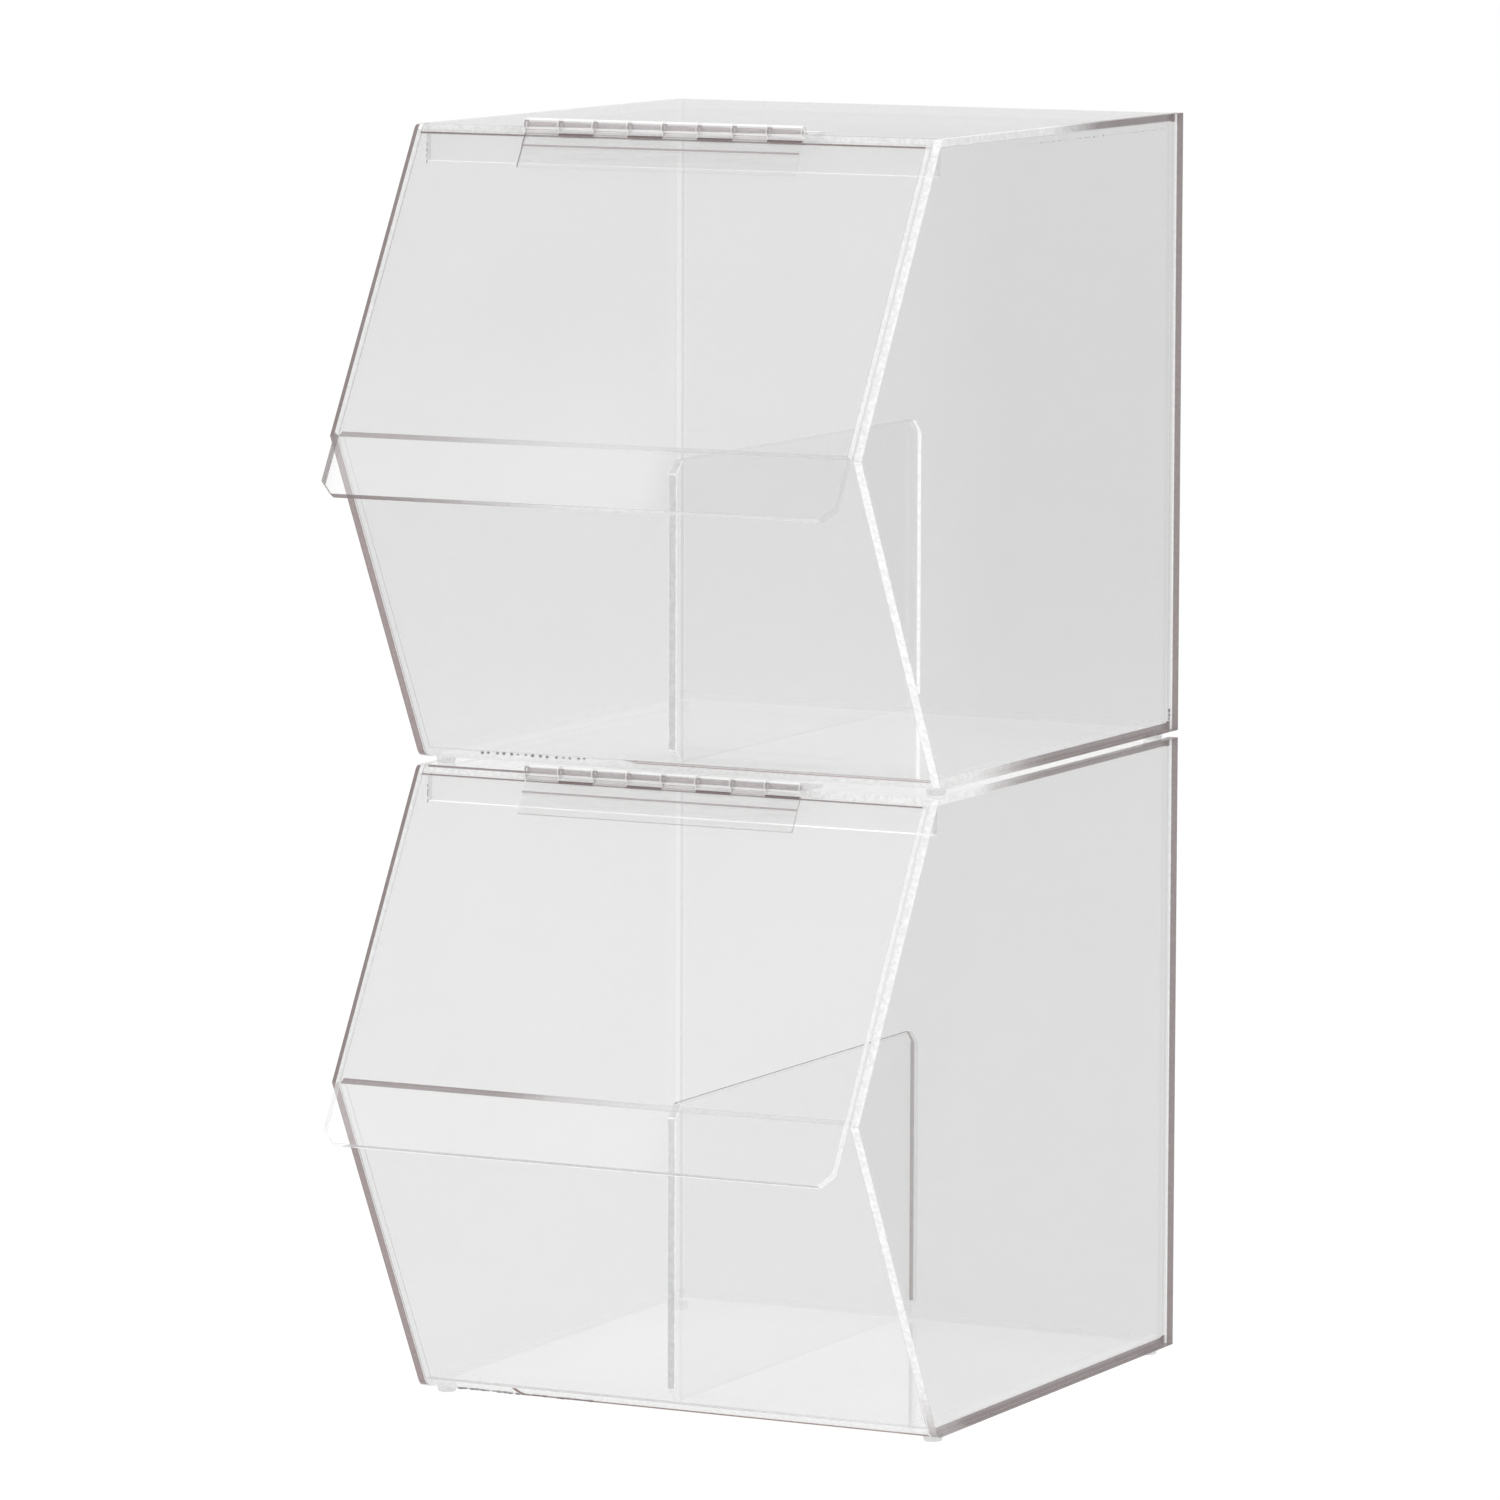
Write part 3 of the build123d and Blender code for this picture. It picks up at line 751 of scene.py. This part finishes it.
def leaf_plate(near, far, step, slots, ends, tip):
    """The leaf behind its knuckles, stepped thinner at the shoulder.

    The tones paint light and shade on it: slots is the painted shade at the notches between its knuckles and
    beside them, ends the painted tones of its two ends, tip that of its far edge; a painted dark line runs
    along the shoulder where the notches are dark.
    """
    notch_line, notch_shade = notch_end + 0.45 * mm, notch_end + 1.4 * mm
    shoulder_line, trim = shoulder_reach - 0.75 * mm, 0.12 * mm
    profile = [(a, near) for a in (notch_end, notch_line, notch_shade, shoulder_line, shoulder_reach)]
    profile += [(shoulder_reach, step), (leaf_reach, step), (leaf_reach, far), (notch_end, far)]
    bm = bmesh.new()
    bm.faces.new([bm.verts.new((0, a, b)) for a, b in profile])
    draw_out(bm, knuckle_count * knuckle_pitch - knuckle_gap)
    for k in range(1, knuckle_count):
        cut_across(bm, (k * knuckle_pitch - knuckle_gap / 2, 0, 0), right)
    bmesh.ops.recalc_face_normals(bm, faces=bm.faces)
    ease(bm, sharp_edges(bm, 30), 0.1 * mm)

    def tone_of(normal, middle):
        if abs(normal.x) > 0.5:
            return ends[0] if normal.x < 0 else ends[1]
        bare = int(middle.x / knuckle_pitch) % 2 == 1
        thin_side = abs(middle.z) < abs(far) * 0.8
        if middle.y < notch_line:
            return slots[0] if bare else slots[1]
        if middle.y < notch_shade:
            return slots[0] * 0.9 if bare and thin_side else 0.0
        if shoulder_line < middle.y < shoulder_reach + trim and thin_side:
            return 0.6 if slots[0] else 0.0
        return tip if middle.y > leaf_reach - trim else 0.0

    stamp_tones(bm, tone_of)
    return finished_mesh(bm, "leaf_plate")


def copies_on(tree, points, shape, **more):
    """Real copies of an object on points."""
    template = place(tree, "GeometryNodeObjectInfo", {"Object": shape}).outputs["Geometry"]
    placed = place(tree, "GeometryNodeInstanceOnPoints", {"Points": points, "Instance": template, **more})
    return place(tree, "GeometryNodeRealizeInstances", {0: placed.outputs[0]}).outputs[0]


def in_material(tree, geometry, material):
    return place(tree, "GeometryNodeSetMaterial", {"Geometry": geometry, "Material": material}).outputs[0]


def hinge_leaf_tree():
    """Geometry: a row of knuckles, joined to their leaf plate, turned and put on the hinge axis."""
    tree, given, result = new_group(
        "hinge_leaf_row", "GeometryNodeTree",
        [("Plate", "Geometry"), ("Knuckle", "Object"), ("Count", "Int", 4), ("Pitch", "Float", 0.0368),
         ("First", "Float", 0.0), ("Axis", "Vector"), ("Turn", "Float", 0.0), ("Material", "Material")],
        {"Leaf": "Geometry"})
    pitch, first, turn = (place(tree, "ShaderNodeCombineXYZ", {0: given[name]}).outputs[0]
                          for name in ("Pitch", "First", "Turn"))
    row = place(tree, "GeometryNodeMeshLine", {"Count": given["Count"], "Start Location": first,
                                               "Offset": pitch}, mode="OFFSET")
    joined = place(tree, "GeometryNodeJoinGeometry", {0: copies_on(tree, row.outputs[0], given["Knuckle"])})
    tree.links.new(given["Plate"], joined.inputs[0])
    rotation = place(tree, "FunctionNodeEulerToRotation", {0: turn}).outputs[0]
    moved = place(tree, "GeometryNodeTransform", {"Geometry": joined.outputs[0], "Translation": given["Axis"],
                                                  "Rotation": rotation})
    return put_out(tree, result, {"Leaf": in_material(tree, moved.outputs[0], given["Material"])})


def run_tree(name, mesh, tree, values):
    """Runs a Geometry Nodes tree on a mesh and gives the result as a plain mesh."""
    holder = bpy.data.objects.new(name, mesh)
    scene.collection.objects.link(holder)
    modifier = holder.modifiers.new("build", "NODES")
    modifier.node_group = tree
    for item in tree.interface.items_tree:
        if item.in_out == "INPUT" and item.name in values:
            modifier[item.identifier] = values[item.name]
    holder.update_tag()
    bpy.context.view_layer.update()
    graph = bpy.context.evaluated_depsgraph_get()
    made = bpy.data.meshes.new_from_object(holder.evaluated_get(graph), depsgraph=graph)
    made.name = name
    bpy.data.objects.remove(holder)
    return made


def template_object(name, mesh):
    """A shape for a tree to copy, not rendered itself."""
    made = bpy.data.objects.new(name, mesh)
    scene.collection.objects.link(made)
    made.hide_render = True
    return made


leaf_tree = hinge_leaf_tree()
slope_turn = math.atan2(down.z, down.y)
# low_line paints a highlight low on the top leaf's knuckles and a thin dark line of shade low on the lid's.
top_barrel = knuckle_template(-leaf_near, -leaf_far, pin_radius + 0.02 * mm, turn=0.0, low_line=-0.4)
lid_barrel = knuckle_template(leaf_near, leaf_far, pin_radius + 0.05 * mm, turn=slope_turn, low_line=0.45)
top_knuckle = template_object("top_knuckle", top_barrel)
lid_knuckle = template_object("lid_knuckle", lid_barrel)
end_dome = [(0.0, 0.0), (0.05 * mm, 0.75), (0.22 * mm, 0.95), (0.4 * mm, 1.0)]
rod_length = knuckle_count * knuckle_pitch - knuckle_gap - 0.8 * mm
rod_stations = end_dome + [(rod_length / 2, 1.0)]
rod_stations += [(rod_length - x, share) for x, share in reversed(end_dome)]
rod_profile = [(x, share * pin_radius) for x, share in rod_stations]

for level, base in bases.items():
    axis = Vector((hinge_left + knuckle_gap / 2, hinge_y, base + hinge_z))
    rod_start = axis + Vector((0.4 * mm, 0, 0))
    # Painted light and shade on the lid leaves: painted shade in the notches, and ends and tip that differ
    # between the bins, the lower lid's left end a painted highlight and its tip a painted line, the upper's
    # left end a painted dark line.
    lid_ends, lid_tip = {"lower": ((-0.9, 0.35), 0.35), "upper": ((0.75, 0.0), 0.0)}[level]
    top_plate = leaf_plate(-leaf_near, -leaf_far, -leaf_step, slots=(0.0, 0.0), ends=(0.0, 0.0), tip=0.0)
    lid_plate = leaf_plate(leaf_near, leaf_far, leaf_step, slots=(1.0, 0.35), ends=lid_ends, tip=lid_tip)
    for label, body, template, plate, first, turn in (
        ("top", level + "_bin", top_knuckle, top_plate, knuckle_pitch, 0.0),
        ("lid", level + "_lid", lid_knuckle, lid_plate, 0.0, slope_turn),
    ):
        mesh = run_tree(f"{level}_hinge_{label}_leaf_moulded", plate, leaf_tree, {
            "Knuckle": template, "Count": knuckle_count // 2, "Pitch": 2 * knuckle_pitch, "First": first,
            "Axis": axis, "Turn": turn, "Material": hinge_skin})
        new_piece(mesh.name, mesh, body, "hinge_plastic", f"{level}_hinge_{label}_leaf")
    rod = turned_mesh(f"{level}_hinge_rod", rod_profile, 24, lambda x, y, z: rod_start + Vector((x, y, z)))
    rod.materials.append(rod_clear)
    new_piece(f"{level}_hinge_rod", rod, level + "_bin", "hinge_plastic", f"{level}_hinge_pin")

for leftover in (top_knuckle, lid_knuckle):
    bpy.data.objects.remove(leftover)


# Feet: clear bumpers with a softly rounded sole and a shallow dimple, heights and radii in mm

foot_profile = [(-3.2, 0.0), (-3.3, 1.6), (-3.5, 2.6), (-3.5, 3.6), (-3.38, 4.1), (-3.05, 4.42), (-2.6, 4.55),
                (-0.6, 4.9), (-0.25, 4.97), (-0.06, 4.9), (-0.02, 4.6), (-0.02, 0.0)]


def foot_tree():
    """Geometry: one foot on every point."""
    tree, given, result = new_group("feet_on_points", "GeometryNodeTree", [
        ("Points", "Geometry"), ("Foot", "Object"), ("Material", "Material")], {"Feet": "Geometry"})
    points = place(tree, "GeometryNodeMeshToPoints", {"Mesh": given["Points"]}).outputs[0]
    feet = copies_on(tree, points, given["Foot"])
    return put_out(tree, result, {"Feet": in_material(tree, feet, given["Material"])})


feet_tree = foot_tree()
foot_mesh = turned_mesh("foot_template", foot_profile, 48, lambda z, x, y: (x * mm, y * mm, z * mm))
foot_shape = template_object("foot_shape", foot_mesh)
for level in bases:
    nodes = [f"{level}_{row}_{side}_foot" for row in ("front", "back") for side in ("left", "right")]
    boxes = [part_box(node) for node in nodes]
    points = bpy.data.meshes.new("foot_points")
    points.from_pydata([((low.x + high.x) / 2, (low.y + high.y) / 2, high.z) for low, high in boxes], [], [])
    mesh = run_tree(f"{level}_feet", points, feet_tree, {"Foot": foot_shape, "Material": foot_clear})
    new_piece(f"{level}_feet", mesh, level + "_bin", "foot_plastic", *nodes)
bpy.data.objects.remove(foot_shape)


# Bubbles in the cement of the joints

def bubble_tree():
    """Geometry: a row of bubbles along a joint, each with its own size and a little off the line."""
    tree, given, result = new_group(
        "bubble_row", "GeometryNodeTree",
        [("Bubble", "Object"), ("From", "Vector"), ("To", "Vector"), ("Count", "Int", 8),
         ("Smallest", "Float", 0.0002), ("Largest", "Float", 0.0005), ("Drift", "Vector"),
         ("Stretch", "Vector"), ("Seed", "Int", 1), ("Material", "Material")],
        {"Bubbles": "Geometry"})
    row = place(tree, "GeometryNodeMeshLine", {"Count": given["Count"], "Start Location": given["From"],
                                               "Offset": given["To"]}, mode="END_POINTS")
    spread = {"Min": scaled(tree, given["Drift"], -1.0), "Max": given["Drift"], "Seed": given["Seed"]}
    drift = place(tree, "FunctionNodeRandomValue", spread, data_type="FLOAT_VECTOR")
    shaken = place(tree, "GeometryNodeSetPosition", {"Geometry": row.outputs[0], "Offset": drift.outputs[0]})
    sizes = {2: given["Smallest"], 3: given["Largest"], 8: given["Seed"]}
    size = place(tree, "FunctionNodeRandomValue", sizes, data_type="FLOAT")
    scale = scaled(tree, given["Stretch"], size.outputs[1])
    bubbles = copies_on(tree, shaken.outputs[0], given["Bubble"], Scale=scale)
    return put_out(tree, result, {"Bubbles": in_material(tree, bubbles, given["Material"])})


row_tree = bubble_tree()
ball = bmesh.new()
bmesh.ops.create_uvsphere(ball, u_segments=10, v_segments=7, radius=1.0)
bubble_shape = template_object("bubble_shape", finished_mesh(ball, "bubble_template", smooth=True))


def bubble_row(joint, start, stop, count, sizes, drift, stretch, seed):
    """Bubbles along one joint of a bin; sizes and drift are in mm."""
    name = joint + "_bubbles"
    mesh = run_tree(name, bpy.data.meshes.new("row"), row_tree, {
        "Bubble": bubble_shape, "From": start, "To": stop, "Count": count, "Smallest": sizes[0] * mm,
        "Largest": sizes[1] * mm, "Drift": [d * mm for d in drift], "Stretch": stretch, "Seed": seed,
        "Material": bubble_skin})
    new_piece(name, mesh, joint.split("_")[0] + "_bin", "clear_acrylic")


inner_x = 135.2 * mm
fascia_y = 87.1 * mm - y_middle
back_y = 353.1 * mm - y_middle
for level, base in bases.items():
    left_x, right_x, front_y, front_up, front_count, front_stretch = {
        "lower": (-118 * mm, -46 * mm, 87.3 * mm - y_middle, 0.95 * mm, 24, (2.8, 0.6, 0.8)),
        "upper": (-104 * mm, -48 * mm, 84.2 * mm - y_middle, 4.2 * mm, 15, (1.3, 0.5, 1.0))}[level]
    front_z = base + front_up
    bubble_row(f"{level}_front_joint", (left_x, front_y, front_z), (right_x, front_y, front_z), front_count,
               sizes=(0.45, 0.75), drift=(0.8, 0.1, 0.15), stretch=front_stretch, seed=3)
    roof = base + bin_height
    end_x = -inner_x - 0.2 * mm
    bubble_row(f"{level}_fascia_joint", (end_x, fascia_y, roof - 10 * mm),
               (end_x, fascia_y, roof - 18 * mm), 4, sizes=(0.25, 0.5), drift=(0.1, 0.1, 0.5),
               stretch=(0.6, 0.8, 2.2), seed=5 if level == "lower" else 6)
top_x, low_x = inner_x + 0.1 * mm, inner_x + 0.4 * mm
top_z = roof - 7.4 * mm
bubble_row("upper_top_joint", (top_x, 22 * mm, top_z), (top_x, 175 * mm, top_z), 31,
           sizes=(0.2, 0.42), drift=(0.05, 1.2, 0.05), stretch=(0.5, 1.6, 0.7), seed=8)
bubble_row("upper_back_joint", (low_x, back_y, base + 6 * mm), (low_x, back_y, base + 9.5 * mm), 3,
           sizes=(0.4, 0.75), drift=(0.3, 0.3, 0.3), stretch=(0.9, 0.8, 1.6), seed=2)
bpy.data.objects.remove(bubble_shape)


# Camera, lamps, world and floor

yaw, pitch, roll = -0.4698, -0.1229, 0.0028
turn = (Matrix.Rotation(-yaw, 4, "Z") @ Matrix.Rotation(math.pi / 2 + pitch, 4, "X")
        @ Matrix.Rotation(roll, 4, "Z"))
camera_data = bpy.data.cameras.new("photo_camera")
camera_data.sensor_width = 36.0
camera_data.lens = 6.012 * camera_data.sensor_width
camera_data.clip_start, camera_data.clip_end = 0.1, 60.0
camera = bpy.data.objects.new("photo_camera", camera_data)
camera.matrix_world = Matrix.Translation((1.95385, -3.85278, 0.84778)) @ turn
scene.collection.objects.link(camera)
scene.camera = camera


def lamp(name, spot, size, power):
    """A square softbox aimed at the middle of the lower bin."""
    data = bpy.data.lights.new(name, "AREA")
    data.shape = "RECTANGLE"
    data.size = data.size_y = size
    data.energy = power
    made = bpy.data.objects.new(name, data)
    made.location = spot
    made.rotation_euler = (Vector((0, 0, 0.3)) - Vector(spot)).to_track_quat("-Z", "Y").to_euler()
    made.visible_glossy = False
    scene.collection.objects.link(made)


lamp("key_softbox", (-1.3, -1.7, 1.7), 1.1, 16)
lamp("fill_softbox", (1.7, -1.5, 1.0), 1.3, 11)
lamp("top_softbox", (0.1, 0.4, 2.2), 1.4, 12)


def seen_directly(tree):
    """1 where the camera, a mirror or clear plastic shows the studio, 0 where the studio only lights."""
    rays = place(tree, "ShaderNodeLightPath").outputs
    shown_in = calc(tree, "MAXIMUM", rays["Is Glossy Ray"], rays["Is Transmission Ray"])
    return calc(tree, "MAXIMUM", rays["Is Camera Ray"], shown_in)


world = bpy.data.worlds.new("studio")
scene.world = world
world.use_nodes = True
tree = world.node_tree
tree.nodes.clear()
sky_light = place(tree, "ShaderNodeBackground", {"Color": paint(1.0), "Strength": 0.55}).outputs[0]
sky_seen = place(tree, "ShaderNodeBackground", {"Color": paint(1.0), "Strength": 1.0}).outputs[0]
place(tree, "ShaderNodeOutputWorld", {"Surface": laid_over(tree, seen_directly(tree), sky_light, sky_seen)})

floor_material, tree, coordinates = new_material("floor_paper")
paper_colour = blend_colour(tree, noise(tree, coordinates, 60.0, 3.0), paint(0.8), paint(0.83))
matte = place(tree, "ShaderNodeBsdfDiffuse", {"Color": paper_colour}).outputs[0]
lit = place(tree, "ShaderNodeEmission", {"Color": paint(1.0), "Strength": 1.08}).outputs[0]
surfaced(floor_material, laid_over(tree, calc(tree, "MULTIPLY", seen_directly(tree), 0.88), matte, lit))
reach = 12
floor_mesh = bpy.data.meshes.new("studio_floor")
floor_corners = [(-reach, -reach, 0), (reach, -reach, 0), (reach, reach, 0), (-reach, reach, 0)]
floor_mesh.from_pydata(floor_corners, [], [(0, 1, 2, 3)])
floor_mesh.materials.append(floor_material)
floor = bpy.data.objects.new("studio_floor", floor_mesh)
floor.location = (0, 0, -0.2 * mm)
scene.collection.objects.link(floor)
floor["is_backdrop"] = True

scene.view_settings.view_transform = "Standard"
scene.cycles.max_bounces = 24
scene.cycles.transparent_max_bounces = 96

low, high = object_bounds()
